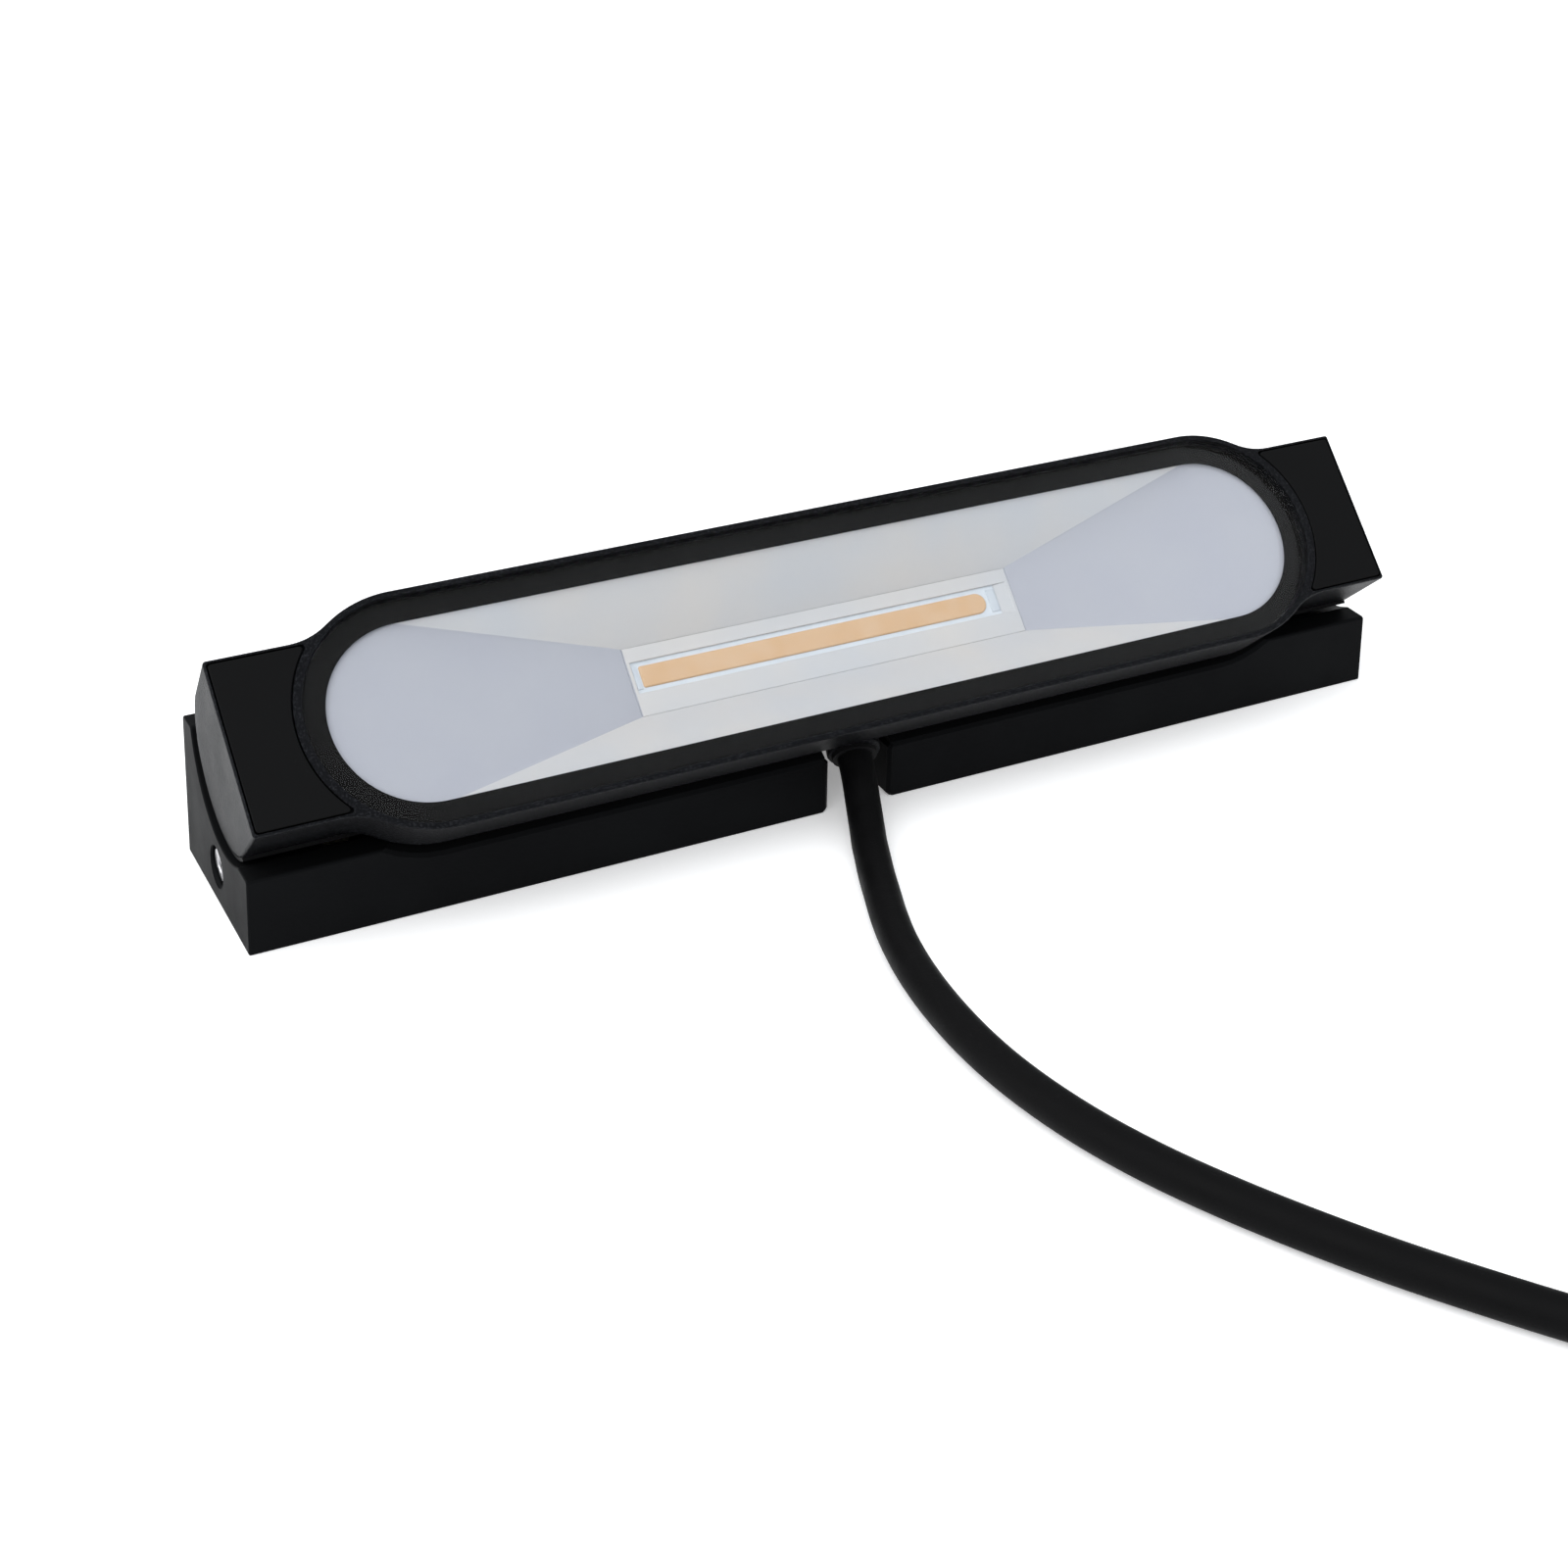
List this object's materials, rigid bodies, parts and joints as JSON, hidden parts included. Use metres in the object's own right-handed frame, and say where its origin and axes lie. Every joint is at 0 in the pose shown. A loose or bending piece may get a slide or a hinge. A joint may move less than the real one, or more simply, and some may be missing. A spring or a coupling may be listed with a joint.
{
  "type": "picture light",
  "caption": "Long picture light with a stadium-shaped glass window in a half-round tilting head, cradled in a low flat mounting base, with a black cord and connector.",
  "frame": {"origin": "centre of the base's flat underside, midway between the two slotted wall holes", "axes": "+X along the lamp, +Z out of the mounting surface through the base, -Y the side the light leans to"},
  "size_m": [0.2556, 0.2858, 0.0554],
  "materials": {
    "black_casting": "fine textured black powder coat on die-cast aluminium",
    "cover_black": "smooth matte black",
    "zinc_steel": "zinc-plated sheet steel",
    "screw_steel": "bright stainless steel",
    "nylon": "natural nylon",
    "liner_plastic": "smooth black sliding plastic",
    "rail_metal": "machined aluminium",
    "clear_glass": "clear hardened glass",
    "border_print": "black print on the glass",
    "black_rubber": "soft black silicone rubber",
    "white_plastic": "satin white reflector plastic",
    "white_board": "white solder mask",
    "phosphor": "orange-yellow phosphor resin",
    "pad_metal": "tinned contact pads",
    "pad_rubber": "grey thermal pad",
    "bare_aluminium": "bare extruded aluminium",
    "circuit_board": "green solder mask",
    "coil_copper": "enamelled copper winding",
    "black_part": "moulded black package",
    "red_insulation": "red wire insulation",
    "cord_rubber": "matte black rubber sheath",
    "tie_plastic": "black cable tie",
    "connector_plastic": "black moulded plastic",
    "contact_brass": "brass contacts"
  },
  "bodies": {
    "base": {"base_housing": "black_casting", "mounting_plate": "zinc_steel", "end_screws": "screw_steel", "brake_blocks": "nylon", "cord": "cord_rubber", "cord_coil": "cord_rubber", "coil_tie": "tie_plastic", "cord_tail": "cord_rubber", "connector_body": "connector_plastic", "connector_nut": "connector_plastic", "connector_pins": "contact_brass"},
    "head": {"head_housing": "black_casting", "cover_plate_left": "cover_black", "cover_plate_right": "cover_black", "arc_liner_left": "liner_plastic", "arc_liner_right": "liner_plastic", "arc_rail_left": "rail_metal", "arc_rail_right": "rail_metal", "rail_screws": "screw_steel", "front_glass": "clear_glass", "glass_border": "border_print", "glass_gasket": "black_rubber", "reflector": "white_plastic", "led_board": "white_board", "led_phosphor": "phosphor", "led_pads": "pad_metal", "thermal_pad": "pad_rubber", "heat_spreader": "bare_aluminium", "spreader_screws": "screw_steel", "driver_board": "circuit_board", "driver_coil": "coil_copper", "driver_capacitor": "black_part", "driver_chips": "black_part", "board_screws": "screw_steel", "internal_leads": "red_insulation", "cable_grommet": "black_rubber", "cable_tail": "cord_rubber"}
  },
  "joints": [
    {"name": "head_tilt", "type": "hinge", "parent": "base", "child": "head", "pos_m": [0, -0.006, 0.031], "axis": [1, 0, 0], "range_deg": [-44, 1], "deforming": ["cord"]}
  ]
}
